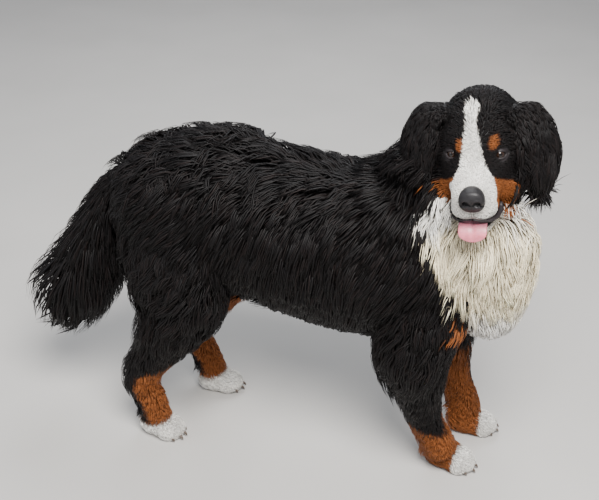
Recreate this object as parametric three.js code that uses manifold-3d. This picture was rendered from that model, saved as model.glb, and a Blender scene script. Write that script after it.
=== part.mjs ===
// A life-size standing Bernese mountain dog, modelled still, with its head turned to its right.
// Millimetres. +X is forward along the body, +Y is the dog's left, +Z is up, and the floor is z = 0.
// Each node is a lofted core, which holds the flesh and the inner part of the coat, with tapered
// locks of hair rooted in it. Cores meet face to face with a small gap.
import * as THREE from "three";
import { mergeVertices } from "three/addons/utils/BufferGeometryUtils.js";
import Module from "manifold-3d";

const wasm = await Module();
wasm.setup();

// Driving dimensions, from a male of the breed.
const gap = 0.5; // left between two nodes that touch
const backHeight = 655; // skin at the lowest point of the back
const withersRise = 24;
const rumpRise = 38;
const chestDepth = 315;
const chestHalfWidth = 138;
const headHeight = 755; // tip of the nose above the floor
const headAt = { x: 308, y: -205 }; // tip of the nose on the floor plan
const headTurn = -90; // heading of the muzzle, in degrees from +X
const skullHalfWidth = 80;
const muzzleHalfWidth = 43;
const eyeRadius = 13;
const eyeAt = { back: 92, side: 42, up: 52 }; // from the tip of the nose
const coreShare = 0.45; // share of the coat's depth that the core takes

const colours = {
  black: [0x1b191b, 0.62],
  rust: [0x8a4518, 0.7],
  white: [0xe9e2d3, 0.7],
  nose: [0x141314, 0.35],
  tongue: [0xd98c93, 0.4],
  eye: [0x24130a, 0.12],
};

// Small vector helpers.
const vec = (x, y, z) => new THREE.Vector3(x, y, z);
const radians = THREE.MathUtils.degToRad;
const mix = (a, b, t) => a + (b - a) * t;

// A seeded draw, so that each run gives the same locks.
function seeded(seed) {
  let state = seed >>> 0;
  return () => {
    state = (Math.imul(state, 1664525) + 1013904223) >>> 0;
    return state / 4294967296;
  };
}

// Catmull-Rom value of a list of numbers at u, where each whole u is a station.
function along(values, u) {
  const last = values.length - 1;
  const i = Math.min(Math.max(Math.floor(u), 0), last - 1);
  const t = u - i;
  const p1 = values[i];
  const p2 = values[i + 1];
  const p0 = i > 0 ? values[i - 1] : 2 * p1 - p2;
  const p3 = i < last - 1 ? values[i + 2] : 2 * p2 - p1;
  if (t < 0) return p1 + (p2 - p0) * 0.5 * t;
  if (t > 1) return p2 + (p3 - p1) * 0.5 * (t - 1);
  const a = -p0 + 3 * p1 - 3 * p2 + p3;
  const b = 2 * p0 - 5 * p1 + 4 * p2 - p3;
  return 0.5 * (a * t * t * t + b * t * t + (p2 - p0) * t) + p1;
}

// A loft: sections round a bent centre line. A station is
// [x, y, z, half width, height above, height below, coat depth, cup].
// The half width lies along `side`, and the heights at right angles to it and to the centre line,
// whose way is taken over `reach` stations on either hand. `power` below 1 squares the section.
class Loft {
  constructor(stations, side = vec(0, 1, 0), power = 1, reach = 0.05) {
    this.columns = [];
    for (let k = 0; k < 8; k++) this.columns.push(stations.map((s) => s[k] ?? 0));
    this.last = stations.length - 1;
    this.side = side;
    this.power = power;
    this.reach = reach;
  }

  centre(u) {
    const [x, y, z] = this.columns.slice(0, 3).map((c) => along(c, u));
    return vec(x, y, z);
  }

  axes(u) {
    const step = this.reach;
    const tangent = this.centre(u + step).sub(this.centre(u - step)).normalize();
    const up = tangent.clone().cross(this.side).normalize();
    const side = up.clone().cross(tangent).normalize();
    return { tangent, up, side };
  }

  // The point of the section at u and angle, with the coat grown by `share` and the whole by `extra`.
  point(u, angle, share = coreShare, extra = 0) {
    const { up, side } = this.axes(u);
    const [w, above, below, coat, cup] = this.columns.slice(3).map((c) => along(c, u));
    const grown = coat * share + extra;
    const round = (v) => Math.sign(v) * Math.abs(v) ** this.power;
    const a = round(Math.cos(angle));
    const b = round(Math.sin(angle));
    const height = (b > 0 ? above : below) + grown;
    return this.centre(u)
      .addScaledVector(side, a * (w + grown))
      .addScaledVector(up, b * height - cup * a * a);
  }

  normal(u, angle) {
    const e = 0.03;
    const du = this.point(u + e, angle).sub(this.point(u - e, angle));
    const da = this.point(u, angle + e).sub(this.point(u, angle - e));
    const n = da.cross(du).normalize();
    const out = this.point(u, angle).sub(this.centre(u));
    return n.dot(out) < 0 ? n.negate() : n;
  }

  // The closed solid from u0 to u1, with its ends drawn in by `inset`.
  solid({ u0 = 0, u1 = this.last, rings = 10, sides = 14, extra = 0, inset = 0 }) {
    const positions = [];
    const index = [];
    for (let r = 0; r < rings; r++) {
      const u = mix(u0, u1, r / (rings - 1));
      const shift = this.axes(u).tangent.multiplyScalar(
        r === 0 ? inset - extra : r === rings - 1 ? extra - inset : 0,
      );
      for (let k = 0; k < sides; k++) {
        const p = this.point(u, (2 * Math.PI * k) / sides, coreShare, extra).add(shift);
        positions.push(p.x, p.y, p.z);
      }
    }
    for (let r = 0; r < rings - 1; r++)
      for (let k = 0; k < sides; k++) {
        const a = r * sides + k;
        const b = r * sides + ((k + 1) % sides);
        index.push(a, a + sides, b, b, a + sides, b + sides);
      }
    for (const [ring, turn] of [[0, 1], [rings - 1, -1]]) {
      const first = ring * sides;
      const middle = vec(0, 0, 0);
      for (let k = 0; k < sides; k++)
        middle.add(vec(...positions.slice(3 * (first + k), 3 * (first + k) + 3)));
      middle.divideScalar(sides);
      const centre = positions.length / 3;
      positions.push(middle.x, middle.y, middle.z);
      for (let k = 0; k < sides; k++) {
        const a = first + k;
        const b = first + ((k + 1) % sides);
        index.push(centre, turn > 0 ? a : b, turn > 0 ? b : a);
      }
    }
    return outward(solidFrom(positions, index));
  }
}

// Solids for joining and cutting.
function solidFrom(positions, index) {
  return new wasm.Manifold(
    new wasm.Mesh({
      numProp: 3,
      vertProperties: new Float32Array(positions),
      triVerts: new Uint32Array(index),
    }),
  );
}

// A solid whose faces point out, whichever way its stations run.
function outward(solid) {
  if (solid.volume() > 0) return solid;
  const mesh = solid.getMesh();
  const turned = Uint32Array.from(mesh.triVerts);
  for (let i = 0; i < turned.length; i += 3)
    [turned[i + 1], turned[i + 2]] = [turned[i + 2], turned[i + 1]];
  return solidFrom(mesh.vertProperties, turned);
}

function solidOf(geometry, matrix = new THREE.Matrix4()) {
  const bare = geometry.clone().applyMatrix4(matrix);
  bare.deleteAttribute("normal");
  bare.deleteAttribute("uv");
  const merged = mergeVertices(bare, 1e-4);
  return outward(solidFrom(merged.attributes.position.array, merged.index.array));
}

const joined = (list) => wasm.Manifold.union(list);

function ball(centre, radii, detail = [12, 8]) {
  const place = new THREE.Matrix4().makeTranslation(centre.x, centre.y, centre.z);
  place.scale(vec(...radii));
  return solidOf(new THREE.SphereGeometry(1, ...detail), place);
}

// A lock of hair: a flat, tapered blade of four sides along a list of points.
// `across` is its width's direction at each point.
function lockSolid(path, across, width, thickness, extra = 0) {
  const positions = [];
  const index = [];
  const rings = path.length - 1;
  path.forEach((p, i) => {
    if (i === rings) return;
    const t = i / rings;
    const ahead = path[i + 1].clone().sub(path[Math.max(i - 1, 0)]).normalize();
    const wide = across[i].clone().addScaledVector(ahead, -across[i].dot(ahead)).normalize();
    const thick = ahead.clone().cross(wide).normalize();
    const swell = mix(0.72, 1, Math.sin(Math.PI * Math.min(t * 1.5, 1))) * (1 - 0.45 * t * t);
    const w = (width / 2) * swell + extra;
    const h = (thickness / 2) * mix(1, 0.55, t) + extra;
    for (const [a, b] of [[w, 0], [0, h], [-w, 0], [0, -h]]) {
      const q = p.clone().addScaledVector(wide, a).addScaledVector(thick, b);
      positions.push(q.x, q.y, q.z);
    }
  });
  const end = path[rings].clone().sub(path[rings - 1]).normalize();
  const tip = path[rings].clone().addScaledVector(end, extra);
  const last = positions.length / 3;
  positions.push(tip.x, tip.y, tip.z);
  for (let r = 0; r < rings - 1; r++)
    for (let k = 0; k < 4; k++) {
      const a = 4 * r + k;
      const b = 4 * r + ((k + 1) % 4);
      // The same diagonal on both broad faces keeps them from crossing.
      if (k % 2) index.push(a, a + 4, b + 4, a, b + 4, b);
      else index.push(a, a + 4, b, b, a + 4, b + 4);
    }
  for (let k = 0; k < 4; k++) index.push(4 * (rings - 1) + k, last, 4 * (rings - 1) + ((k + 1) % 4));
  index.push(0, 1, 2, 0, 2, 3);
  return outward(solidFrom(positions, index));
}

// Locks in rows over part of a loft. `rows` run along the loft and `count` round it.
// `flow` is the way that the hair lies, as steps along the loft and round it for a whole lock,
// `length` and `width` are the real sizes, and `droop` lets the tip hang by that share of its length.
function locksOn(loft, spec) {
  const draw = seeded(spec.seed);
  const made = [];
  for (let i = 0; i < spec.rows; i++)
    for (let k = 0; k < spec.count; k++) {
      const u = mix(spec.u[0], spec.u[1], spec.rows > 1 ? i / (spec.rows - 1) : 0.5);
      const offset = i % 2 ? 0.5 : 0;
      const share = (k + offset + (draw() - 0.5) * 0.35) / Math.max(spec.count - 0.5, 1);
      const angle = radians(mix(spec.angle[0], spec.angle[1], Math.min(share, 1)));
      const jitter = (amount) => 1 + (draw() - 0.5) * 2 * amount;
      const length = spec.length * jitter(0.14) * (spec.grade ? spec.grade(u, angle) : 1);
      const width = spec.width * jitter(0.12);
      made.push(oneLock(loft, spec, u + (draw() - 0.5) * 0.08, angle, length, width, draw));
    }
  return made;
}

function oneLock(loft, spec, u, angle, length, width, draw) {
  const segments = spec.segments ?? 3;
  const sink = spec.sink ?? 7;
  const rise = spec.rise ?? 12;
  const down = vec(0, 0, -1);
  const wave = (draw() - 0.5) * 2 * (spec.wave ?? 5);
  const flow = spec.flow(u, angle);
  const path = [];
  const across = [];
  const normal = loft.normal(u, angle);
  const start = loft.point(u, angle).addScaledVector(normal, -sink);
  path.push(start);
  let direction = flow.clone().addScaledVector(normal, -flow.dot(normal)).normalize();
  let here = start.clone();
  let at = { u, angle };
  for (let i = 1; i <= segments; i++) {
    const t = i / segments;
    const step = length / segments;
    direction.addScaledVector(down, (spec.droop ?? 0.2) * t * 0.6).normalize();
    here = here.clone().addScaledVector(direction, step);
    at = nearest(loft, here, at);
    const n = loft.normal(at.u, at.angle);
    const surface = loft.point(at.u, at.angle);
    const wanted = mix(-sink, rise, t ** 0.75);
    const height = here.clone().sub(surface).dot(n);
    if (at.inside) here.addScaledVector(n, (wanted - height) * (height > wanted ? 0.35 : 1));
    const sideways = direction.clone().cross(n).normalize();
    here.addScaledVector(sideways, wave * Math.sin(t * 3));
    if (here.z < 4) here.z = 4 + i * 0.2;
    path.push(here.clone());
    direction = here.clone().sub(path[i - 1]).normalize();
  }
  path.forEach((p, i) => {
    const near = nearest(loft, p, at.inside ? at : { u, angle });
    const n = i === 0 ? normal : loft.normal(near.u, near.angle);
    const next = path[Math.min(i + 1, segments)];
    const before = path[Math.max(i - 1, 0)];
    across.push(next.clone().sub(before).cross(n).normalize());
  });
  return {
    solid: lockSolid(path, across, width, spec.thickness ?? 6),
    swollen: lockSolid(path, across, width, spec.thickness ?? 6, 3 * gap),
  };
}

// The loft's own place nearest to a point, by a few steps from a first guess.
function nearest(loft, p, guess) {
  let { u, angle } = guess;
  const e = 0.04;
  for (let i = 0; i < 5; i++) {
    const here = loft.point(u, angle);
    const du = loft.point(u + e, angle).sub(here).divideScalar(e);
    const da = loft.point(u, angle + e).sub(here).divideScalar(e);
    const rest = p.clone().sub(here);
    u += THREE.MathUtils.clamp(rest.dot(du) / Math.max(du.lengthSq(), 1), -0.6, 0.6);
    angle += THREE.MathUtils.clamp(rest.dot(da) / Math.max(da.lengthSq(), 1), -0.5, 0.5);
    u = THREE.MathUtils.clamp(u, 0, loft.last);
  }
  return { u, angle, inside: u > 0.02 && u < loft.last - 0.02 };
}

// The list of nodes, in the order of who keeps its place: a core is cut back from the cores before
// it, and its locks from every other core and from the locks before them.
const nodes = [];
function node(name, colour, { cores, cuts = [], locks = [] }) {
  nodes.push({
    name,
    colour,
    core: joined(cores.map((c) => c.exact)),
    swollen: joined(cores.map((c) => c.swollen)),
    cuts,
    locks,
  });
}

const both = (make) => ({ exact: make(0), swollen: make(gap) });
const loftCore = (loft, options) =>
  both((extra) => loft.solid({ ...options, extra }));
const ballCore = (centre, radii, detail) =>
  both((extra) => ball(centre, radii.map((r) => r + extra), detail));

// Frame of the head: x forward from the tip of the nose, y to its left, z up.
const headFrame = new THREE.Matrix4()
  .makeTranslation(headAt.x, headAt.y, headHeight)
  .multiply(new THREE.Matrix4().makeRotationZ(radians(headTurn)));
const inHead = (x, y, z) => vec(x, y, z).applyMatrix4(headFrame);
const headSide = vec(0, 1, 0).transformDirection(headFrame);
const headStation = (x, y, top, bottom, half, coat = 0, cup = 0) => {
  const middle = (top + bottom) / 2;
  const p = inHead(x, y, middle);
  return [p.x, p.y, p.z, half, top - middle, middle - bottom, coat, cup];
};

// Torso, from the rump to the front of the chest.
const bodyStation = (x, top, bottom, half, coat) => {
  const middle = mix(bottom, top, 0.52);
  return [x, 0, middle, half, top - middle, middle - bottom, coat];
};
const withers = backHeight + withersRise;
const rump = backHeight + rumpRise;
const sternum = withers - chestDepth;
const torso = new Loft([
  bodyStation(-462, rump - 88, rump - 168, 38, 30),
  bodyStation(-440, rump - 48, rump - 215, 82, 40),
  bodyStation(-365, rump - 18, rump - 250, 112, 50),
  bodyStation(-260, rump, rump - 265, 120, 55),
  bodyStation(-130, rump - 18, rump - 285, 124, 55),
  bodyStation(0, backHeight, sternum + 12, chestHalfWidth, 52),
  bodyStation(120, withers - 12, sternum, chestHalfWidth + 4, 50),
  bodyStation(220, withers, sternum + 12, chestHalfWidth - 4, 48),
  bodyStation(295, withers - 45, sternum + 50, chestHalfWidth - 28, 45),
  bodyStation(338, withers - 110, sternum + 100, chestHalfWidth - 72, 40),
  bodyStation(346, withers - 130, sternum + 130, chestHalfWidth - 100, 36),
]);

// Neck, from between the shoulders up to the skull.
const neck = new Loft([
  [150, 0, 560, 105, 95, 95, 40],
  [215, 0, 640, 100, 92, 100, 55],
  [272, -8, 720, 92, 84, 92, 62],
  [300, -14, 790, 84, 76, 80, 60],
  [308, -22, 838, 66, 60, 66, 40],
]);

// White bib, from under the jaw down the front of the chest. It faces the way the head does.
const bib = new Loft(
  [
    [300, -84, 704, 62, 26, 30, 26],
    [300, -92, 664, 84, 40, 44, 46],
    [326, -86, 590, 72, 42, 56, 54],
    [346, -72, 510, 50, 40, 60, 44],
    [350, -66, 440, 36, 32, 50, 34],
    [350, -60, 402, 20, 16, 26, 20],
  ],
  headSide,
);

// Head from the back of the skull to the front of the muzzle.
const head = new Loft(
  [
    headStation(-258, 0, 72, -12, 34, 12),
    headStation(-244, 0, 104, -34, 58, 16),
    headStation(-205, 0, 132, -56, skullHalfWidth - 4, 16),
    headStation(-160, 0, 138, -62, skullHalfWidth, 12),
    headStation(-122, 0, 112, -60, skullHalfWidth - 8, 6),
    headStation(-98, 0, 78, -56, skullHalfWidth - 18, 4),
    headStation(-76, 0, 48, -50, muzzleHalfWidth + 6, 4),
    headStation(-48, 0, 32, -47, muzzleHalfWidth + 1, 4),
    headStation(-16, 0, 20, -46, muzzleHalfWidth - 3, 4),
    headStation(-4, 0, 8, -40, muzzleHalfWidth - 15, 3),
  ],
  headSide,
  0.88,
  1.5,
);

// Tail, from its root down and back.
const tail = new Loft([
  [-448, 0, 612, 26, 26, 26, 20],
  [-492, -2, 572, 25, 25, 25, 40],
  [-530, -6, 500, 22, 22, 22, 70],
  [-565, -12, 420, 19, 19, 19, 95],
  [-604, -18, 352, 15, 15, 15, 95],
  [-640, -24, 300, 10, 10, 10, 70],
]);

// A foreleg, placed by where its elbow, wrist and foot stand.
function foreleg(sign, elbow, wrist, foot) {
  return new Loft([
    [elbow.x + 25, sign * 84, 540, 30, 66, 62, 24],
    [elbow.x + 30, sign * 98, 455, 36, 62, 60, 36],
    [elbow.x + 14, mix(sign * 98, elbow.y, 0.7), 385, 38, 54, 58, 42],
    [elbow.x, elbow.y, elbow.z, 36, 42, 46, 38],
    [mix(elbow.x, wrist.x, 0.5), mix(elbow.y, wrist.y, 0.5), mix(elbow.z, wrist.z, 0.5), 29, 31, 32, 22],
    [wrist.x, wrist.y, wrist.z, 28, 27, 27, 12],
    [mix(wrist.x, foot.x, 0.38), mix(wrist.y, foot.y, 0.38), wrist.z - 62, 28, 25, 26, 12],
    [mix(wrist.x, foot.x, 0.62), mix(wrist.y, foot.y, 0.62), 46, 31, 27, 28, 8],
  ]);
}

// A hind leg, placed by its stifle, hock and foot.
function hindleg(sign, hip, stifle, hock, foot) {
  return new Loft([
    [hip.x, sign * 62, hip.z + 60, 30, 80, 82, 20],
    [hip.x + 6, sign * 82, hip.z, 44, 92, 94, 40],
    [mix(hip.x, stifle.x, 0.6), mix(sign * 90, stifle.y, 0.6), mix(hip.z, stifle.z, 0.62), 46, 74, 88, 44],
    [stifle.x, stifle.y, stifle.z, 40, 48, 62, 40],
    [mix(stifle.x, hock.x, 0.55), mix(stifle.y, hock.y, 0.55), mix(stifle.z, hock.z, 0.52), 30, 34, 38, 26],
    [hock.x, hock.y, hock.z, 24, 26, 27, 16],
    [mix(hock.x, foot.x, 0.42), mix(hock.y, foot.y, 0.42), mix(hock.z, 34, 0.55), 24, 22, 22, 12],
    [mix(hock.x, foot.x, 0.64), mix(hock.y, foot.y, 0.64), 42, 28, 25, 26, 8],
  ]);
}

// The four legs, each with the places of its joints and foot.
const legs = [
  {
    name: "foreleg_right", sign: -1, fore: true,
    foot: vec(312, -62, 0), turn: -12,
    loft: foreleg(-1, vec(208, -112, 318), vec(240, -88, 150), vec(312, -62, 0)),
  },
  {
    name: "foreleg_left", sign: 1, fore: true,
    foot: vec(346, 80, 0), turn: 4,
    loft: foreleg(1, vec(248, 108, 318), vec(282, 94, 150), vec(346, 80, 0)),
  },
  {
    name: "hindleg_right", sign: -1, fore: false,
    foot: vec(-368, -126, 0), turn: -14,
    loft: hindleg(-1, vec(-345, 0, 520), vec(-284, -126, 385), vec(-418, -126, 165), vec(-368, -126, 0)),
  },
  {
    name: "hindleg_left", sign: 1, fore: false,
    foot: vec(-290, 80, 0), turn: 4,
    loft: hindleg(1, vec(-330, 0, 520), vec(-236, 116, 385), vec(-370, 92, 165), vec(-290, 80, 0)),
  },
];

// A paw: a low pad block with four arched toes and their claws, flat under the sole.
function paw(leg, extra) {
  const pieces = [];
  const frame = new THREE.Matrix4()
    .makeTranslation(leg.foot.x, leg.foot.y, 0)
    .multiply(new THREE.Matrix4().makeRotationZ(radians(leg.turn)));
  const at = (x, y, z) => vec(x, y, z).applyMatrix4(frame);
  const big = leg.fore ? 1 : 0.93;
  const shape = (c, radii, detail) => {
    const place = new THREE.Matrix4().makeTranslation(c.x, c.y, c.z);
    place.multiply(new THREE.Matrix4().makeRotationZ(radians(leg.turn)));
    place.scale(vec(...radii.map((r) => r + extra)));
    return solidOf(new THREE.SphereGeometry(1, ...detail), place);
  };
  pieces.push(shape(at(-24, 0, 29), [50 * big, 36 * big, 33 * big], [8, 6]));
  for (let k = 0; k < 4; k++) {
    const side = (k - 1.5) * 17.5 * big;
    const reach = (k === 0 || k === 3 ? 12 : 26) * big;
    pieces.push(shape(at(reach, side, 19), [25 * big, 10.8 * big, 23 * big], [7, 5]));
    const claw = new THREE.ConeGeometry(3.4 + extra, 17 + extra, 3);
    const place = new THREE.Matrix4().makeTranslation(...at(reach + 27 * big, side * 1.04, 9));
    place.multiply(new THREE.Matrix4().makeRotationZ(radians(leg.turn)));
    place.multiply(new THREE.Matrix4().makeRotationY(radians(116)));
    pieces.push(solidOf(claw, place.multiply(new THREE.Matrix4().makeRotationX(Math.PI / 2))));
  }
  return joined(pieces);
}

const floor = solidOf(
  new THREE.BoxGeometry(2000, 1200, 200),
  new THREE.Matrix4().makeTranslation(0, 0, -100),
);

// Eyes, nose and tongue come first, so that the head is cut to meet them.
for (const [name, sign] of [["eye_left", 1], ["eye_right", -1]]) {
  const at = inHead(-eyeAt.back, sign * eyeAt.side, eyeAt.up);
  node(name, "eye", { cores: [ballCore(at, [eyeRadius, eyeRadius, eyeRadius], [10, 6])] });
}

const noseLoft = new Loft(
  [
    headStation(-20, 0, 27, -10, 16),
    headStation(-10, 0, 28, -19, 22),
    headStation(2, 0, 24, -22, 22.5),
    headStation(9, 0, 16, -19, 18),
    headStation(12, 0, 8, -13, 10),
  ],
  headSide,
  0.85,
);
const nostrils = [1, -1].map((sign) =>
  ball(inHead(9, sign * 10.5, 1), [6, 9, 5], [8, 5]),
);
const philtrum = ball(inHead(12, 0, -12), [1.2, 7, 12], [8, 6]);
node("nose", "nose", {
  cores: [loftCore(noseLoft, { rings: 7, sides: 14 })],
  cuts: [...nostrils, philtrum],
});

const tongueLoft = new Loft(
  [
    headStation(-86, 0, -57, -63, 20),
    headStation(-50, 0, -54, -62, 25),
    headStation(-22, 0, -53, -62, 27),
    [...inHead(-4, 0, -63), 27, 5, 5, 0],
    [...inHead(3, 0, -80), 23, 4.5, 4.5, 0],
    [...inHead(4, 0, -92), 12, 3.5, 3.5, 0],
  ],
  headSide,
);
node("tongue", "tongue", { cores: [loftCore(tongueLoft, { rings: 9, sides: 8 })] });

// Head, with lids round the eyes.
const lids = [1, -1].flatMap((sign) => [
  ballCore(inHead(-eyeAt.back + 6, sign * eyeAt.side, eyeAt.up + 11), [14, 10, 4.5], [8, 5]),
  ballCore(inHead(-eyeAt.back + 6, sign * eyeAt.side, eyeAt.up - 10), [13, 10, 4], [8, 5]),
]);
const brows = [1, -1].map((sign) =>
  ballCore(inHead(-108, sign * 34, 80), [22, 20, 17], [8, 6]),
);
const cheeks = [1, -1].map((sign) =>
  ballCore(inHead(-124, sign * 46, -16), [34, 46, 44], [8, 6]),
);
const flews = [1, -1].map((sign) =>
  ballCore(inHead(-50, sign * 25, -34), [23, 42, 24], [8, 6]),
);
const sockets = [1, -1].map((sign) => (extra) =>
  ball(
    inHead(-eyeAt.back + 16, sign * (eyeAt.side + 7), eyeAt.up),
    [22 - extra, 20 - extra, 14 - extra],
    [8, 6],
  ),
);
const skull = both((extra) =>
  head.solid({ rings: 14, sides: 14, extra }).subtract(joined(sockets.map((cut) => cut(extra)))),
);
const lipSeam = ball(inHead(-2, 0, -30), [1.6, 12, 22], [8, 6]);
node("head", "black", {
  cores: [skull, ...brows, ...cheeks, ...flews, ...lids],
  cuts: [lipSeam],
  locks: [
    {
      loft: head, rows: 2, count: 3, seed: 11, u: [2.9, 1.7], angle: [40, 140],
      flow: () => vec(0, 1, 0), length: 66, width: 46, rise: 14, droop: 0.3, sink: 5,
    },
  ],
});

const jaw = new Loft(
  [
    headStation(-150, 0, -52, -84, 40, 6),
    headStation(-110, 0, -58, -92, 42, 6),
    headStation(-70, 0, -66, -90, 34, 5),
    headStation(-40, 0, -68, -86, 28, 4),
    headStation(-22, 0, -68, -82, 18, 3),
  ],
  headSide,
);
node("lower_jaw", "white", { cores: [loftCore(jaw, { rings: 7, sides: 12 })] });

// Ears: hanging leaves, hollow towards the head.
for (const [name, sign] of [["ear_left", 1], ["ear_right", -1]]) {
  const spot = (x, y, z) => inHead(x, sign * y, z);
  const ear = new Loft(
    [
      [...spot(-156, 58, 112), 30, 9, 9, 6, 0],
      [...spot(-150, 84, 104), 42, 9, 9, 12, 4],
      [...spot(-142, 104, 66), 50, 8, 8, 20, 8],
      [...spot(-136, 112, 24), 50, 7, 7, 24, 10],
      [...spot(-132, 112, -14), 38, 6, 6, 20, 8],
      [...spot(-130, 108, -38), 16, 5, 5, 12, 2],
    ].map((s) => (sign < 0 ? s : [...s.slice(0, 7), -s[7]])),
    vec(0.72, -sign * 0.69, 0).transformDirection(headFrame),
  );
  const outer = sign > 0 ? [250, 290] : [70, 110];
  node(name, "black", {
    cores: [loftCore(ear, { rings: 8, sides: 8 })],
    locks: [
      {
        loft: ear, rows: 2, count: 2, seed: 21 + sign, u: [0.9, 3.9], angle: [outer[0] - 45, outer[1] + 45],
        flow: () => vec(sign * 0.1, 0.1, -1), length: 100, width: 56, rise: 12, droop: 0.2, wave: 6,
      },
      {
        loft: ear, rows: 2, count: 2, seed: 31 + sign, u: [2.6, 4.4], angle: [0, 200],
        flow: () => vec(sign * 0.35, 0, -1), length: 66, width: 30, rise: 4, droop: 0.1,
      },
    ],
  });
}

// Torso keeps its whole core, with the neck, legs and tail cut to meet it.
const bodyFlow = (u, angle) => {
  const aside = Math.abs(Math.cos(angle));
  return vec(0.3 * aside - 1, 0, -1.05 * aside);
};
node("torso", "black", {
  cores: [loftCore(torso, { rings: 14, sides: 16 })],
  locks: [
    {
      loft: torso, rows: 7, count: 8, seed: 41, u: [8.4, 1.2], angle: [-46, 226],
      flow: bodyFlow, length: 160, width: 98, rise: 26, droop: 0.12, wave: 10, thickness: 7,
    },
    {
      loft: torso, rows: 3, count: 2, seed: 44, u: [6.6, 3.5], angle: [240, 300],
      flow: () => vec(-0.6, 0, -0.8), length: 116, width: 76, rise: 46, droop: 0.6, thickness: 7,
    },
  ],
});

node("neck", "black", {
  cores: [loftCore(neck, { rings: 7, sides: 14 })],
  locks: [
    {
      loft: neck, rows: 2, count: 6, seed: 51, u: [3.2, 1.4], angle: [10, 310],
      flow: () => vec(-0.25, 0, -1), length: 136, width: 82, rise: 22, droop: 0.3, thickness: 7,
    },
  ],
});

node("bib", "white", {
  cores: [loftCore(bib, { rings: 8, sides: 10 })],
  locks: [
    {
      loft: bib, rows: 4, count: 4, seed: 66, u: [0.6, 4.2], angle: [-10, 190],
      flow: () => vec(0, 0, -1), length: 128, width: 58, rise: 20, droop: 0.3, wave: 6,
    },
  ],
});

// Tail in two lengths.
const tailCut = 2.6;
const tailLocks = (seed, u, rows) => ({
  loft: tail, rows, count: 5, seed, u, angle: [0, 320],
  flow: (at) => {
    const t = tail.axes(at).tangent;
    return vec(t.x, t.y, t.z - 0.15);
  },
  length: 150, width: 56, rise: 34, droop: 0.2, wave: 6, sink: 6,
});
node("tail_base", "black", {
  cores: [loftCore(tail, { u0: 0, u1: tailCut, rings: 7, sides: 10, inset: gap / 2 })],
  locks: [tailLocks(71, [1.1, 2.3], 2)],
});
node("tail_end", "black", {
  cores: [loftCore(tail, { u0: tailCut, u1: tail.last, rings: 6, sides: 10, inset: gap / 2 })],
  locks: [tailLocks(72, [2.75, 4.3], 3)],
});

// Legs: upper leg, lower leg and paw.
for (const leg of legs) {
  const { loft, sign, fore } = leg;
  const knee = fore ? 3.3 : 3.4;
  const ankle = 6.2;
  const out = sign > 0 ? [-60, 60] : [120, 240];
  node(`${leg.name}_paw`, "white", {
    cores: [both((extra) => paw(leg, extra))],
    cuts: [floor],
  });
  node(`${leg.name}_lower`, "rust", {
    cores: [loftCore(loft, { u0: knee, u1: loft.last - 0.05, rings: 8, sides: 10, inset: gap / 2 })],
    locks: fore
      ? [
          {
            loft, rows: 4, count: 1, seed: 81 + sign, u: [3.6, 5.9], angle: [-96, -84],
            flow: () => vec(-0.55, 0, -1), length: 80, width: 40, rise: 18, droop: 0.3,
          },
        ]
      : [
          {
            loft, rows: 3, count: 1, seed: 85 + sign, u: [3.7, 5.4], angle: [-96, -84],
            flow: () => vec(-0.5, 0, -1), length: 72, width: 38, rise: 16, droop: 0.3,
          },
        ],
  });
  node(`${leg.name}_upper`, "black", {
    cores: [loftCore(loft, { u0: 0, u1: knee, rings: 7, sides: 12, inset: gap / 2 })],
    locks: [
      {
        loft, rows: 2, count: 2, seed: 101 + sign, u: [1.3, 2.5], angle: out,
        flow: () => vec(-0.5, 0, -1), length: fore ? 112 : 124, width: 76, rise: 16, droop: 0.2,
      },
      {
        loft, rows: 2, count: 1, seed: 95 + sign, u: [1.9, 3.0], angle: [-96, -84],
        flow: () => vec(-0.5, 0, -1), length: fore ? 108 : 116, width: 60, rise: 22, droop: 0.4,
      },
    ],
  });
}

// Joins the locks to their cores and cuts each node clear of the others.
const largest = (solid) =>
  solid.decompose().reduce((a, b) => (b.volume() > a.volume() ? b : a));

function finished() {
  const cores = [];
  nodes.forEach((n, i) => {
    let core = n.core;
    if (i > 0) core = core.subtract(joined(nodes.slice(0, i).map((m) => m.swollen)));
    for (const cut of n.cuts) core = core.subtract(cut);
    cores.push(largest(core));
  });
  const taken = [];
  const done = [];
  for (const [i, n] of nodes.entries()) {
    let whole = cores[i];
    if (n.locks.length) {
      const made = n.locks.flatMap((spec) => locksOn(spec.loft, spec));
      const locks = joined(made.map((m) => m.solid)).asOriginal().simplify(1);
      const others = nodes.filter((m) => m !== n).map((m) => m.swollen);
      whole = whole.add(locks.subtract(joined([...others, ...taken, ...n.cuts, floor])));
      taken.push(joined(made.map((m) => m.swollen)));
    }
    whole = whole.asOriginal().simplify(0.2);
    for (const before of done)
      if (whole.intersect(before).volume() > 0) whole = whole.subtract(before);
    done.push(largest(whole.asOriginal().simplify(0.002)));
  }
  return nodes.map((n, i) => ({ ...n, whole: done[i] }));
}

// The mesh of a finished node.
function meshOf({ name, colour, whole }) {
  const mesh = whole.getMesh();
  const geometry = new THREE.BufferGeometry();
  const n = mesh.numProp;
  const positions = new Float32Array(mesh.numVert * 3);
  for (let i = 0; i < mesh.numVert; i++)
    positions.set(mesh.vertProperties.subarray(i * n, i * n + 3), i * 3);
  geometry.setAttribute("position", new THREE.BufferAttribute(positions, 3));
  geometry.setIndex(new THREE.BufferAttribute(Uint32Array.from(mesh.triVerts), 1));
  geometry.computeVertexNormals();
  const [tint, roughness] = colours[colour];
  const material = new THREE.MeshStandardMaterial({ color: tint, roughness, metalness: 0 });
  const made = new THREE.Mesh(geometry, material);
  made.name = name;
  return made;
}

const dog = new THREE.Group();
for (const made of finished()) dog.add(meshOf(made));

// The origin is on the floor, under the middle of the whole.
const box = new THREE.Box3().setFromObject(dog);
dog.position.set(-(box.min.x + box.max.x) / 2, -(box.min.y + box.max.y) / 2, -box.min.z);

export default dog;
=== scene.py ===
import math

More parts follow.
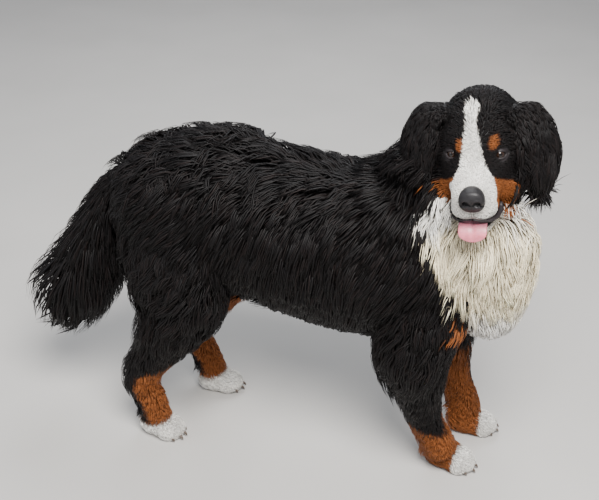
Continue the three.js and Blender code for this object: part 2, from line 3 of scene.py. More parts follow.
import bmesh
import bpy
import numpy as np
from mathutils import Matrix, Vector
from mathutils.bvhtree import BVHTree
from mathutils.kdtree import KDTree


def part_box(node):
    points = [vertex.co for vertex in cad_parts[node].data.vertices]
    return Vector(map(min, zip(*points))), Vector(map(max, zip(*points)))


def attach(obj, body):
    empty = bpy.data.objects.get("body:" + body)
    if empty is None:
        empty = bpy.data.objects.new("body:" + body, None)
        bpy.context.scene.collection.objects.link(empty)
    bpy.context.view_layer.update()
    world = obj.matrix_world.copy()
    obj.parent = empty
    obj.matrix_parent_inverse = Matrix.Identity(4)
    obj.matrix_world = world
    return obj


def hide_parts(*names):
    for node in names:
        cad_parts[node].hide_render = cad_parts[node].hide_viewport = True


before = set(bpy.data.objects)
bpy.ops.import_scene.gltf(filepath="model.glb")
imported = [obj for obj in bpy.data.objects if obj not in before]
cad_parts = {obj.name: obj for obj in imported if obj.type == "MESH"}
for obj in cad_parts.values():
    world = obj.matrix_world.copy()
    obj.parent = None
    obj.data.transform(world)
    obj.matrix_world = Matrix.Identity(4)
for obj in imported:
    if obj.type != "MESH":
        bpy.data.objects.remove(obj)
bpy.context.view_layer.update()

# Driving dimensions, the same as the solids' own.
BACK, WITHERS_RISE, RUMP_RISE = 655, 24, 38
CHEST_DEPTH, CHEST_HALF = 315, 138
HEAD_TILT = math.radians(6)  # the dog's left eye is the higher one
HEAD_TURN = math.radians(0.8)  # from a square turn, back towards the front of the body
HEAD_AT = np.array([306.6, -205.0, 755.1])  # tip of the nose
EYE_AT = np.array([350, -113, 807])  # the left eye of the level head
SKULL_HALF, MUZZLE_HALF = 80, 43
EYE_RADIUS = 13
EYE = (-92, 42, 52)  # forward, aside and up from the tip of the nose
LEGS = {
    "foreleg_right": dict(sign=-1, fore=True, foot=(312, -62), turn=-12,
                          joints=((208, -112, 318), (240, -88, 150))),
    "foreleg_left": dict(sign=1, fore=True, foot=(346, 80), turn=4,
                         joints=((248, 108, 318), (282, 94, 150))),
    "hindleg_right": dict(sign=-1, fore=False, foot=(-368, -126), turn=-14,
                          joints=((-345, 0, 520), (-284, -126, 385), (-418, -126, 165))),
    "hindleg_left": dict(sign=1, fore=False, foot=(-290, 80), turn=4,
                         joints=((-330, 0, 520), (-236, 116, 385), (-370, 92, 165))),
}
HIND_PAW = 0.93  # size against the fore paws
TOE_REACH = (12, 26)  # outer and inner toes, forward of the paw's middle
TOE_GAP = 17.5
HAIR = np.random.default_rng(7)


def unit(v):
    v = np.asarray(v, float)
    return v / np.maximum(np.linalg.norm(v, axis=-1, keepdims=True), 1e-9)


def dot(a, b):
    return np.sum(a * b, axis=-1, keepdims=True)


def step(x, low, high):
    t = np.clip((np.asarray(x, float) - low) / (high - low), 0, 1)
    return t * t * (3 - 2 * t)


def table(x, rows):
    rows = np.array(rows, float)
    return np.interp(x, rows[:, 0], rows[:, 1])


# The head's own frame: forward from the tip of the nose, to its left, and up.
HEAD_AXES = np.array(Matrix.Rotation(HEAD_TURN, 3, "Z") @ Matrix.Rotation(-HEAD_TILT, 3, "Y")
                     @ Matrix(((0, 1, 0), (-1, 0, 0), (0, 0, 1)))).T


def in_head(x, y, z):
    return HEAD_AT + np.array([x, y, z], float) @ HEAD_AXES


def head_of(points):
    return (points - HEAD_AT) @ HEAD_AXES.T


def catmull(rows, u):
    last = len(rows) - 1
    u = np.atleast_1d(np.asarray(u, float))
    i = np.clip(np.floor(u).astype(int), 0, last - 1)
    t = (u - i)[:, None]
    p1, p2 = rows[i], rows[i + 1]
    p0 = np.where((i > 0)[:, None], rows[np.maximum(i - 1, 0)], 2 * p1 - p2)
    p3 = np.where((i < last - 1)[:, None], rows[np.minimum(i + 2, last)], 2 * p2 - p1)
    inner = 0.5 * ((-p0 + 3 * p1 - 3 * p2 + p3) * t**3 + (2 * p0 - 5 * p1 + 4 * p2 - p3) * t**2
                   + (p2 - p0) * t) + p1
    low = p1 + (p2 - p0) * 0.5 * t
    high = p2 + (p3 - p1) * 0.5 * (t - 1)
    return np.where(t < 0, low, np.where(t > 1, high, inner))


def ring_grid(stops, sides):
    """Every stop with every angle round it, stop after stop."""
    turn = np.linspace(0, 2 * np.pi, sides, endpoint=False)
    return np.repeat(stops, sides), np.tile(turn, len(stops))


LOFT_SAMPLES = 90  # along a loft, to find the nearest one
AT_ONCE = 20000  # points compared with them in one go


class Loft:
    """Sections round a bent centre line: x, y, z, half width, above, below, coat, cup."""

    def __init__(self, stations, side=(0, 1, 0), power=1.0, reach=0.05):
        self.rows = np.array([list(s) + [0] * (8 - len(s)) for s in stations], float)
        self.last = len(stations) - 1
        self.side = np.array(side, float)
        self.power = power
        self.reach = reach

    def frame(self, u):
        centre = catmull(self.rows[:, :3], u)
        tangent = unit(catmull(self.rows[:, :3], np.asarray(u) + self.reach)
                       - catmull(self.rows[:, :3], np.asarray(u) - self.reach))
        up = unit(np.cross(tangent, self.side))
        side = unit(np.cross(up, tangent))
        return centre, tangent, up, side

    def grid(self, rings, sides):
        """Places along the loft, angles round it and the points there, ring after ring."""
        u, angle = ring_grid(np.linspace(0, self.last, rings), sides)
        centre, _, up, side = self.frame(u)
        wide, above, below, _, cup = catmull(self.rows, u)[:, 3:].T
        a, b = (np.sign(v) * np.abs(v) ** self.power for v in (np.cos(angle), np.sin(angle)))
        height = np.where(b > 0, above, below)
        return u, angle, (centre + side * (a * wide)[:, None]
                          + up * (b * height - cup * a * a)[:, None])

    def locate(self, points):
        """Place along the loft and round it of each point, for the unwrap."""
        us = np.linspace(0, self.last, LOFT_SAMPLES)
        centre, tangent, _, _ = self.frame(us)
        best = np.concatenate([np.argmin(np.sum((some[:, None] - centre) ** 2, axis=2), axis=1)
                               for some in np.array_split(points, len(points) // AT_ONCE + 1)])
        speed = np.linalg.norm(np.gradient(centre, us, axis=0), axis=1)
        u = us[best] + np.sum((points - centre[best]) * tangent[best], axis=1) / speed[best]
        c, _, up, side = self.frame(np.clip(u, -0.5, self.last + 0.5))
        d = points - c
        return u, np.arctan2(np.sum(d * up, axis=1), np.sum(d * side, axis=1))


def head_stations(*rows):
    """Stations in the head's frame, from rows of x, top, bottom, half width and coat."""
    return [[*in_head(x, 0, (top + bottom) / 2), half, (top - bottom) / 2, (top - bottom) / 2, *coat]
            for x, top, bottom, half, *coat in rows]


def body_stations(*rows):
    """Stations along the body, from rows of x, top, bottom, half width and coat."""
    middles = [bottom + (top - bottom) * 0.52 for _, top, bottom, *_ in rows]
    return [[x, 0, middle, half, top - middle, middle - bottom, coat]
            for middle, (x, top, bottom, half, coat) in zip(middles, rows)]


withers, rump = BACK + WITHERS_RISE, BACK + RUMP_RISE
sternum = withers - CHEST_DEPTH
HEAD_SIDE = HEAD_AXES[1]
PARTS = {
    "torso": Loft(body_stations(
        (-462, rump - 88, rump - 168, 38, 30),
        (-440, rump - 48, rump - 215, 82, 40),
        (-365, rump - 18, rump - 250, 112, 50),
        (-260, rump, rump - 265, 120, 55),
        (-130, rump - 18, rump - 285, 124, 55),
        (0, BACK, sternum + 12, CHEST_HALF, 52),
        (120, withers - 12, sternum, CHEST_HALF + 4, 50),
        (220, withers, sternum + 12, CHEST_HALF - 4, 48),
        (295, withers - 45, sternum + 50, CHEST_HALF - 28, 45),
        (338, withers - 110, sternum + 100, CHEST_HALF - 72, 40),
        (346, withers - 130, sternum + 130, CHEST_HALF - 100, 36),
    )),
    "neck": Loft([
        [150, 0, 560, 105, 95, 95, 40],
        [215, 0, 640, 100, 92, 100, 55],
        [272, -8, 720, 92, 84, 92, 62],
        [300, -14, 790, 84, 76, 80, 60],
        [308, -22, 838, 66, 60, 66, 40],
    ]),
    "bib": Loft([
        [300, -84, 704, 62, 26, 30, 26],
        [300, -92, 664, 84, 40, 44, 46],
        [326, -86, 590, 72, 42, 56, 54],
        [346, -72, 510, 50, 40, 60, 44],
        [350, -66, 440, 36, 32, 50, 34],
        [350, -60, 402, 20, 16, 26, 20],
    ], HEAD_SIDE),
    "head": Loft(head_stations(
        (-258, 72, -12, 34, 12),
        (-244, 104, -34, 58, 16),
        (-205, 132, -56, SKULL_HALF - 4, 16),
        (-160, 138, -62, SKULL_HALF, 12),
        (-122, 112, -60, SKULL_HALF - 8, 6),
        (-98, 78, -56, SKULL_HALF - 18, 4),
        (-76, 48, -50, MUZZLE_HALF + 6, 4),
        (-48, 31, -47, MUZZLE_HALF - 3, 4),
        (-16, 18, -46, MUZZLE_HALF - 8, 4),
        (-4, 6, -40, MUZZLE_HALF - 19, 3),
    ), HEAD_SIDE, 0.92, 1.5),
    "jaw": Loft(head_stations(
        (-150, -52, -84, 40, 6),
        (-110, -58, -92, 42, 6),
        (-70, -66, -90, 34, 5),
        (-40, -68, -86, 28, 4),
        (-22, -68, -82, 18, 3),
    ), HEAD_SIDE),
    "tail": Loft([
        [-448, 0, 612, 26, 26, 26, 20],
        [-492, -2, 572, 25, 25, 25, 40],
        [-530, -6, 500, 22, 22, 22, 70],
        [-565, -12, 420, 19, 19, 19, 95],
        [-604, -18, 352, 15, 15, 15, 95],
        [-640, -24, 300, 10, 10, 10, 70],
    ]),
}
for name, sign, out in (("ear_left", 1, 5), ("ear_right", -1, 10)):
    rows = [(-156, 58, 112, 30, 9, 9, 6, 0), (-150, 82 + out, 104, 40, 9, 9, 12, 4),
            (-144, 104 + out, 66, 47, 8, 8, 20, 8), (-140, 112 + out, 24, 46, 7, 7, 24, 10),
            (-136, 112 + out, -14, 34, 6, 6, 20, 8), (-134, 108 + out, -38, 14, 5, 5, 12, 2)]
    PARTS[name] = Loft([[*in_head(x, sign * y, z), *sizes, -sign * cup]
                        for x, y, z, *sizes, cup in rows],
                       np.array([0.72, -sign * 0.69, 0]) @ HEAD_AXES)


def mix(a, b, t):
    return a + (b - a) * t


def foreleg(sign, elbow, wrist, foot):
    e, w, f = np.array([elbow, wrist, [*foot, 0]], float)
    return Loft([
        [e[0] + 25, sign * 84, 540, 30, 66, 62, 24],
        [e[0] + 30, sign * 98, 455, 36, 62, 60, 36],
        [e[0] + 14, mix(sign * 98, e[1], 0.7), 385, 38, 54, 58, 42],
        [*e, 36, 42, 46, 38],
        [*mix(e, w, 0.5), 29, 31, 32, 22],
        [*w, 28, 27, 27, 12],
        [*mix(w, f, 0.38)[:2], w[2] - 62, 28, 25, 26, 12],
        [*mix(w, f, 0.62)[:2], 46, 31, 27, 28, 8],
    ])


def hindleg(sign, hip, stifle, hock, foot):
    p, s, h, f = np.array([hip, stifle, hock, [*foot, 34]], float)
    return Loft([
        [p[0], sign * 62, p[2] + 60, 30, 80, 82, 20],
        [p[0] + 6, sign * 82, p[2], 44, 92, 94, 40],
        [mix(p[0], s[0], 0.6), mix(sign * 90, s[1], 0.6), mix(p[2], s[2], 0.62), 46, 74, 88, 44],
        [*s, 40, 48, 62, 40],
        [*mix(s, h, 0.55)[:2], mix(s[2], h[2], 0.52), 30, 34, 38, 26],
        [*h, 24, 26, 27, 16],
        [*mix(h, f, 0.42)[:2], mix(h[2], f[2], 0.55), 24, 22, 22, 12],
        [*mix(h, f, 0.64)[:2], 42, 28, 25, 26, 8],
    ])


def foot_frame(leg):
    a = math.radians(leg["turn"])
    axes = np.array([[math.cos(a), math.sin(a), 0], [-math.sin(a), math.cos(a), 0], [0, 0, 1]])
    return np.array([*leg["foot"], 0.0]), axes


def paw(leg):
    origin, axes = foot_frame(leg)
    big = leg["big"]
    rows = [(-68, 26, 12, 8, 8, 8), (-60, 28, 25, 22, 20, 8), (-34, 29, 33, 27, 27, 7),
            (0, 24, 34, 22, 22, 5), (30, 18, 30, 15, 16, 4), (42, 14, 20, 8, 12, 3)]
    return Loft([[*(origin + np.array([x * big, 0, z * big]) @ axes), half * big, *rest]
                 for x, z, half, *rest in rows], axes[1], 0.9)


def toes(leg):
    """How far forward and how far aside each toe of a paw is."""
    for k in range(4):
        reach = TOE_REACH[0] if k in (0, 3) else TOE_REACH[1]
        yield reach * leg["big"], (k - 1.5) * TOE_GAP * leg["big"]


for name, leg in LEGS.items():
    leg["big"] = 1 if leg["fore"] else HIND_PAW
    make = foreleg if leg["fore"] else hindleg
    PARTS[name] = make(leg["sign"], *leg["joints"], leg["foot"])
    PARTS[name.replace("leg", "paw")] = paw(leg)
NAMES = list(PARTS)

# Where the model's frame has the dog's, from the left eye's node.
SHIFT = np.mean([tuple(corner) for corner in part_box("eye_left")], axis=0) * 1000 - EYE_AT
SHIFT[2] = 0


def to_scene(points):
    return (np.asarray(points, float) + SHIFT) / 1000


def to_dog(points):
    return np.asarray(points, float) * 1000 - SHIFT


# Materials, each with a colour of its own or else with the tint painted on its mesh.
BLACK = np.array([0.0044, 0.0036, 0.0038])
RUST = np.array([0.24, 0.075, 0.02])
WHITE = np.array([0.93, 0.9, 0.84])
CREAM = np.array([0.9, 0.79, 0.56])
LIP = np.array([0.014, 0.011, 0.012])
LEATHER = (0.011, 0.01, 0.011)
HORN = (0.09, 0.065, 0.05)
FLOOR = (0.46, 0.445, 0.425)
PUPIL, IRIS = np.array([0.002, 0.0015, 0.0015]), np.array([0.022, 0.009, 0.004])
IRIS_EDGE, EYE_WHITE = np.array([0.004, 0.003, 0.003]), np.array([0.07, 0.045, 0.04])
# The tongue's root colour is painted shade, for its part inside the mouth.
TONGUE_ROOT_SHADED, TONGUE_TIP = np.array([0.12, 0.045, 0.06]), np.array([0.62, 0.17, 0.22])


def put(node, **values):
    """Sets a node's inputs, with underscores for the spaces in their names."""
    for key, value in values.items():
        node.inputs[key.replace("_", " ")].default_value = value
    return node


def texture(tree, kind, stretch=None, **values):
    """A texture in the object's own frame."""
    made = put(tree.nodes.new(kind), **values)
    place = tree.nodes.new("ShaderNodeTexCoord").outputs["Object"]
    if stretch:
        mapping = put(tree.nodes.new("ShaderNodeMapping"), Scale=stretch)
        tree.links.new(place, mapping.inputs["Vector"])
        place = mapping.outputs["Vector"]
    tree.links.new(place, made.inputs["Vector"])
    return made


def noise(tree, scale, detail=3.0, stretch=None):
    return texture(tree, "ShaderNodeTexNoise", stretch, Scale=scale, Detail=detail).outputs["Fac"]


def cells(tree, scale):
    return texture(tree, "ShaderNodeTexVoronoi", Scale=scale).outputs["Distance"]


def vary(tree, colour, factor, dark, light):
    """The colour times a value between dark and light."""
    span = put(tree.nodes.new("ShaderNodeMapRange"), From_Min=0.3, From_Max=0.7, To_Min=dark,
               To_Max=light)
    tree.links.new(factor, span.inputs["Value"])
    made = tree.nodes.new("ShaderNodeMix")
    made.data_type = "RGBA"
    made.blend_type = "MULTIPLY"
    put(made, Factor=1)
    tree.links.new(colour, made.inputs["A"])
    tree.links.new(span.outputs["Result"], made.inputs["B"])
    return made.outputs["Result"]


def make_material(name, colour, grains, relief, **values):
    """A material with its colour, or with the mesh's tint where that is None.

    Each grain has a noise's settings and how dark and how light it makes the colour. The relief
    has the kind of texture, its settings, its strength and its distance in metres.
    """
    made = bpy.data.materials.new(name)
    made.use_nodes = True
    tree = made.node_tree
    body = put(tree.nodes["Principled BSDF"], **values)
    if colour is None:
        source = tree.nodes.new("ShaderNodeAttribute")
        source.attribute_name = "tint"
    else:
        source = tree.nodes.new("ShaderNodeRGB")
        source.outputs["Color"].default_value = (*colour, 1)
    shade = source.outputs["Color"]
    for settings, dark, light in grains:
        shade = vary(tree, shade, noise(tree, *settings), dark, light)
    tree.links.new(shade, body.inputs["Base Color"])
    if relief:
        kind, settings, strength, distance = relief
        bump = put(tree.nodes.new("ShaderNodeBump"), Strength=strength, Distance=distance)
        tree.links.new(kind(tree, *settings), bump.inputs["Height"])
        tree.links.new(bump.outputs["Normal"], body.inputs["Normal"])
    return made


def hairy_material(name, fine, roughness, specular):
    return make_material(name, None, [((28,), 0.8, 1.2), ((fine, 4), 0.8, 1.15)],
                         (noise, (fine * 1.6, 2), 0.35, 0.0006), Roughness=roughness,
                         Specular_IOR_Level=specular)


coat_material = hairy_material("coat_hair", 420, 0.55, 0.18)
skin_material = hairy_material("skin_under_coat", 700, 0.6, 0.25)
nose_material = make_material(
    "nose_leather", LEATHER, [((90,), 0.6, 1.6)], (cells, (620,), 0.5, 0.0005),
    Roughness=0.5, Specular_IOR_Level=0.28, Coat_Weight=0.08, Coat_Roughness=0.3)
lip_material = make_material(
    "lip_skin", LIP, [((160,), 0.6, 1.7)], (noise, (500,), 0.5, 0.0006),
    Roughness=0.5, Specular_IOR_Level=0.25, Coat_Weight=0.06, Coat_Roughness=0.3)
tongue_material = make_material(
    "tongue_skin", None, [((120,), 0.85, 1.12)], (cells, (900,), 0.3, 0.0005),
    Roughness=0.4, Specular_IOR_Level=0.4, Coat_Weight=0.2, Coat_Roughness=0.25,
    Subsurface_Weight=0.1, Subsurface_Scale=0.003)
eye_material = make_material(
    "eye_surface", None, [((900,), 0.7, 1.4)], None,
    Roughness=0.2, Specular_IOR_Level=0.3, Coat_Weight=0.55)
claw_material = make_material(
    "claw_horn", HORN, [((200, 3, (1, 1, 6)), 0.6, 1.5)], (noise, (500,), 0.3, 0.0004), Roughness=0.4)
floor_material = make_material(
    "floor_paint", FLOOR, [((2.2,), 0.96, 1.03)], None, Roughness=0.75, Specular_IOR_Level=0.3)


# Meshes.
def mesh_object(name, vertices, faces, material, slot):
    """A mesh in the scene. One with a slot belongs to the dog and rides on its body."""
    mesh = bpy.data.meshes.new(name)
    mesh.from_pydata(np.array(vertices, float).tolist(), [], faces)
    mesh.update()
    made = bpy.data.objects.new(name, mesh)
    bpy.context.scene.collection.objects.link(made)
    mesh.materials.append(material)
    mesh.shade_smooth()
    if slot:
        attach(made, "root")
    return made


def solid(name, shape, material, slot):
    """A piece of the dog from its vertices, in the dog's frame, and its faces."""
    return mesh_object(name, to_scene(shape[0]), shape[1], material, slot)


def paint(made, shades):
    """Sets the mesh's tint, one colour for each vertex."""
    layer = made.data.color_attributes.new("tint", "FLOAT_COLOR", "POINT")
    layer.data.foreach_set("color", np.hstack([shades, np.ones((len(shades), 1))])
                           .astype(np.float32).ravel())


def read(items, key, width=1, kind=np.int32):
    """One property of all of a mesh's vertices, corners, triangles or polygons."""
    flat = np.empty(len(items) * width, kind)
    items.foreach_get(key, flat)
    return flat.reshape(-1, width) if width > 1 else flat


def vertex_data(mesh, key):
    return read(mesh.vertices, key, 3, np.float32).astype(float)


def tree_of(points):
    made = KDTree(len(points))
    for i, p in enumerate(points):
        made.insert(p, i)
    made.balance()
    return made


def merged(shapes):
    """Several shapes as one."""
    vertices, faces, count = [], [], 0
    for v, f in shapes:
        vertices.append(v)
        faces += [tuple(i + count for i in face) for face in f]
        count += len(v)
    return np.vstack(vertices), faces


def outward(vertices, faces):
    """The faces of a closed shape, turned round if they look inwards."""
    volume = 0.0
    for f in faces:
        for k in range(1, len(f) - 1):
            volume += np.dot(vertices[f[0]], np.cross(vertices[f[k]], vertices[f[k + 1]]))
    return faces if volume > 0 else [tuple(reversed(f)) for f in faces]


def capped(points, sides):
    """A closed shape from rings of points, with a fan at each end."""
    count, end = len(points), len(points) - sides
    turns = [(k, (k + 1) % sides) for k in range(sides)]
    faces = [(r + k, r + n, r + sides + n, r + sides + k) for r in range(0, end, sides)
             for k, n in turns]
    for k, n in turns:
        faces += [(count, n, k), (count + 1, end + k, end + n)]
    vertices = np.vstack([points, points[:sides].mean(axis=0), points[end:].mean(axis=0)])
    return vertices, outward(vertices, faces)


def ball_mesh(centre, radii, axes=np.eye(3)):
    polar, turn = ring_grid(np.linspace(0.04, np.pi - 0.04, 14), 20)
    local = np.stack([np.sin(polar) * np.cos(turn), np.sin(polar) * np.sin(turn),
                      np.cos(polar)], axis=1) * np.array(radii)
    return capped(local @ axes + centre, 20)


def tube_mesh(path, radii, sides=10, flat=1.0):
    tangent = unit(np.gradient(path, axis=0))
    side = unit(np.cross(tangent, np.array([0.1, 0.2, 1.0])))
    up = np.cross(side, tangent)
    i, angle = ring_grid(np.arange(len(path)), sides)
    r = radii[i][:, None]
    return capped(path[i] + side[i] * r * np.cos(angle)[:, None]
                  + up[i] * r * flat * np.sin(angle)[:, None], sides)


def curve_through(points, count):
    return catmull(np.array(points, float), np.linspace(0, len(points) - 1, count))


def head_curve(places, count, sign=1):
    """A smooth line through places in the head's frame, on its right where the sign is -1."""
    return curve_through([in_head(x, sign * y, z) for x, y, z in places], count)


def tapered(count, places, values):
    """A value for each point of a line, from its values at some places from 0 to 1."""
    return np.interp(np.linspace(0, 1, count), places, values)


# Markings: shares of the colours by place, the same for the skin and for the coat's roots.
def marking(points, part, fuzz):
    """White, rust and lip shares of each point, with `fuzz` in mm to break up the edges."""
    x, y, z = points.T
    hx, hy, hz = head_of(points).T
    face, jaw, bib, neck, torso, tail = (
        part == NAMES.index(name) for name in ("head", "jaw", "bib", "neck", "torso", "tail"))

    def edge(d, soft=3.0):
        return step(d + fuzz, -soft, soft)

    def within(radius, middle, squash=1):
        return edge(radius - np.linalg.norm((points - np.array(middle)) / squash, axis=1))

    half = table(hx, [(-144, -9), (-134, 1), (-128, 6), (-122, 11), (-116, 12.5), (-108, 10.5),
                      (-92, 9), (-82, 10.5), (-70, 14), (-58, 20), (-48, 32), (-34, 46), (-20, 70)])
    blaze = edge(half - np.abs(hy + table(hx, [(-150, 16), (-134, 9), (-120, 6), (-90, 7),
                                               (-66, 5), (-46, 3)])), 2)
    blaze *= np.where((hx < -62) & (hz < 20), 0, 1)
    border = np.where(hy > 0, -66 + 58 * step(hy, 22, 37), -66 + 22 * step(hz, -6, 22))
    border = border - 60 * (hz < -46)
    muzzle = edge(hx - border, 3) * (hz < 24)
    white = np.where(face, np.maximum(blaze, muzzle), 0)
    dots = np.zeros(len(points))
    for sign in (1, -1):
        d = np.sqrt(((hy - 3.5 - sign * 26) / 8) ** 2
                    + ((hz - 84 - 2 * sign + (hx + 103) * 0.3) / 9) ** 2)
        dots = np.maximum(dots, edge((1 - d) * 9) * (hx > -135))
    cheek = (edge(4 + (hx + 80) * 0.5 - hz) * edge(np.abs(hy) - 30) * edge(hx + 158)
             * edge(-hx - 20, 4))
    rust = np.where(face, np.maximum(dots, cheek) * (1 - white), 0)

    white = np.where(jaw, 1, white)
    side = table(z, [(400, 322), (450, 318), (520, 304), (560, 278), (600, 236), (720, 220)])
    white = np.where(bib, edge(x - side, 4), white)
    front = edge(x - table(z, [(290, 280), (340, 286), (400, 296), (470, 304), (560, 306),
                               (640, 320)]))
    chest = front * edge(50 - np.abs(y + 2)) * edge(600 - z) * edge(z - 290)
    white = np.where(torso | neck, np.maximum(white, chest), white)
    throat = within(60, in_head(-96, 0, -96), [1.3, 1.2, 0.8])
    white = np.where(neck, np.maximum(white, throat), white)
    patch = np.where(bib | face, 0, within(40, [318, -100, 448], [1, 1, 0.75]))
    white = white * (1 - patch)

    for name, leg in LEGS.items():
        pad = part == NAMES.index(name.replace("leg", "paw"))
        mine = pad | (part == NAMES.index(name))
        if not mine.any():
            continue
        origin, axes = foot_frame(leg)
        fx, _, fz = ((points - origin) @ axes.T).T
        inner = -leg["sign"] * (y - leg["joints"][-1][1])
        back = np.zeros(len(points))
        back[mine] = -np.sin(PARTS[name].locate(points[mine])[1])
        if leg["fore"]:
            shade = np.maximum(edge(138 - z + 22 * back, 8), edge(inner - 4, 4) * edge(268 - z, 10))
            tips = edge(fx - 2 + 0.1 * fz, 4) * edge(52 - z)
        else:
            far = leg["sign"] > 0
            inside = edge(inner - 4 + 30 * far * step(-back, 0.1, 0.7))
            inside = inside * edge(250 + 180 * far - z, 8)
            shade = np.maximum(edge(205 - z - 40 * back, 8), inside) * edge((0.15 - back) * 30, 6)
            tips = edge(52 - z + 0.2 * fx, 6)
        white = np.where(mine, tips, white)
        rust = np.where(mine, np.where(pad, 1, shade) * (1 - white), rust)
    rust = np.maximum(rust, patch)

    jowl = np.where(bib | neck, within(19, in_head(-96, 54, -50)), 0)
    rust, white = np.maximum(rust, jowl), white * (1 - jowl)
    streak = within(12, [-478, -34, 560], [0.6, 1, 2.0])
    rust = np.where(tail, np.maximum(rust, 0.3 * streak), rust)
    lip = np.where(face, step(-hz, 44, 50) * step(hx, -120, -105) * step(-hx, 4, 14), 0)
    return white, rust, lip


def colours(points, part, fuzz):
    white, rust, lip = marking(points, part, fuzz)
    cream = step(head_of(points)[:, 2], -60, -100) * step(points[:, 2], 470, 560)
    pale = mix(WHITE, CREAM, cream[:, None])
    made = mix(BLACK, RUST, rust[:, None])
    made = mix(made, pale, white[:, None])
    return mix(made, LIP, lip[:, None])


# Skin: the lofts and the head's rounder forms, joined by a voxel remesh.
VOXEL = 0.0038  # in metres
SOLE = 1  # least height of the skin
HEAD_BALLS = []
for sign in (1, -1):
    HEAD_BALLS += [
        (in_head(-110, sign * 32, 78), (20, 17, 15)),
        (in_head(-124, sign * 46, -16), (31, 43, 41)),
        (in_head(-54, sign * 23, -34), (19, 38, 21)),
        (in_head(-26, sign * 15, -30), (18, 20, 19)),
    ]


def joined_skin():
    shapes = [capped(loft.grid(60, 40)[2], 40) for loft in PARTS.values()]
    shapes += [ball_mesh(centre, radii) for centre, radii in HEAD_BALLS]
    for leg in LEGS.values():
        origin, axes = foot_frame(leg)
        big = leg["big"]
        for reach, aside in toes(leg):
            centre = origin + np.array([reach, aside, 18 * big]) @ axes
            shapes.append(ball_mesh(centre, (23 * big, 9.4 * big, 17 * big), axes))
    vertices, faces = merged(shapes)
    vertices[:, 2] = np.maximum(vertices[:, 2], SOLE)
    made = solid("skin", (vertices, faces), skin_material, "coat_black")
    bpy.context.view_layer.objects.active = made
    remesh = made.modifiers.new("remesh", "REMESH")
    remesh.mode = "VOXEL"
    remesh.voxel_size = VOXEL
    soften = made.modifiers.new("soften", "SMOOTH")
    soften.factor = 0.5
    soften.iterations = 7
    for modifier in (remesh, soften):
        with bpy.context.temp_override(object=made, active_object=made):
            bpy.ops.object.modifier_apply(modifier=modifier.name)
    return made


def refine(made, tests):
    """Splits the faces where the first test holds, and then those where the next one does."""
    for inside in tests:
        shape = bmesh.new()
        shape.from_mesh(made.data)
        chosen = inside(to_dog(np.array([v.co[:] for v in shape.verts])))
        edges = [e for e in shape.edges if chosen[e.verts[0].index] and chosen[e.verts[1].index]]
        bmesh.ops.subdivide_edges(shape, edges=edges, cuts=1, use_grid_fill=True, smooth=0.0)
        shape.to_mesh(made.data)
        shape.free()


def eye_at(sign):
    return in_head(EYE[0], sign * EYE[1], EYE[2])


def from_eyes(points):
    """How far each point is from the middle of the nearer eye."""
    return np.min([np.linalg.norm(points - eye_at(sign), axis=1) for sign in (1, -1)], axis=0)


def near_face(points):
    x, y, z = head_of(points).T
    return (x > -150) & (np.abs(y) < 90) & (z > -90) & (z < 120)


def near_eyes(points):
    return from_eyes(points) < 24


# Eyes: how open the lids are, in radians from the middle, and how the skin lies round the ball.
LID_WIDE, LID_UPPER, LID_LOWER = 1.05, 0.56, 0.5
SOCKET_DEPTH, LID_RISE = 2.5, 2.6


def eye_axes(sign):
    """Where an eye looks, its outer side and its up."""
    ahead = unit(np.array([1.0, sign * 0.34, 0.16]))
    aside = unit(np.cross(np.array([0, 0, 1.0]), ahead)) * sign
    up = unit(np.cross(ahead, aside)) * sign
    return np.array([ahead, aside, up]) @ HEAD_AXES


def carve_face(made):
    """Opens the lids round the eyes, and cuts the lip's groove and the brow's furrow."""
    points = to_dog(vertex_data(made.data, "co"))
    for sign in (1, -1):
        centre = eye_at(sign)
        d = points - centre
        far = np.linalg.norm(d, axis=1)
        local = d @ eye_axes(sign).T
        ahead = np.maximum(local[:, 0], 0.1)
        aside, up = np.arctan2(local[:, 1], ahead), np.arctan2(local[:, 2], ahead)
        tall = np.where(up > 0, LID_UPPER, LID_LOWER)
        share = np.sqrt((aside / LID_WIDE) ** 2 + (up / tall) ** 2)
        wanted = mix(EYE_RADIUS - SOCKET_DEPTH, EYE_RADIUS + LID_RISE, step(share, 0.9, 1.06))
        pull = (1 - step(share, 1.35, 2.1)) * (1 - step(far, 22, 30))
        fold = 0.9 * np.exp(-((share - 1.75) / 0.14) ** 2) * (up > 0)
        moved = centre + unit(d) * mix(far, wanted, pull)[:, None] - unit(d) * fold[:, None]
        carved = (local[:, 0] > 0.12 * far) & (far < 32)
        points = np.where(carved[:, None], moved, points)
    x, y, z = head_of(points).T
    groove = np.exp(-(y / 1.6) ** 2) * step(x, -12, -4) * step(-z, 14, 22)
    groove = groove * step(z, -60, -46)
    furrow = 1.6 * np.exp(-(y / 7) ** 2) * step(x, -150, -128) * step(-x, 84, 98)
    points = points - vertex_data(made.data, "normal") * (3.0 * groove + furrow)[:, None]
    made.data.vertices.foreach_set("co", to_scene(points).astype(np.float32).ravel())
    made.data.update()


skin = joined_skin()
refine(skin, [near_face, near_eyes])
carve_face(skin)
surface = BVHTree.FromPolygons([tuple(v.co) for v in skin.data.vertices],
                               [tuple(p.vertices) for p in skin.data.polygons])


def ripple(points, size, seed):
    """A smooth value from about -1 to 1 that changes over `size` mm."""
    random = np.random.default_rng(seed)
    total = np.zeros(len(points))
    for _ in range(5):
        way = unit(random.normal(0, 1, 3)) * random.uniform(0.7, 1.5) * 2 * np.pi / (size * 2)
        total += np.sin(points @ way + random.uniform(0, 2 * np.pi))
    return np.clip(total / 2.4, -1, 1)


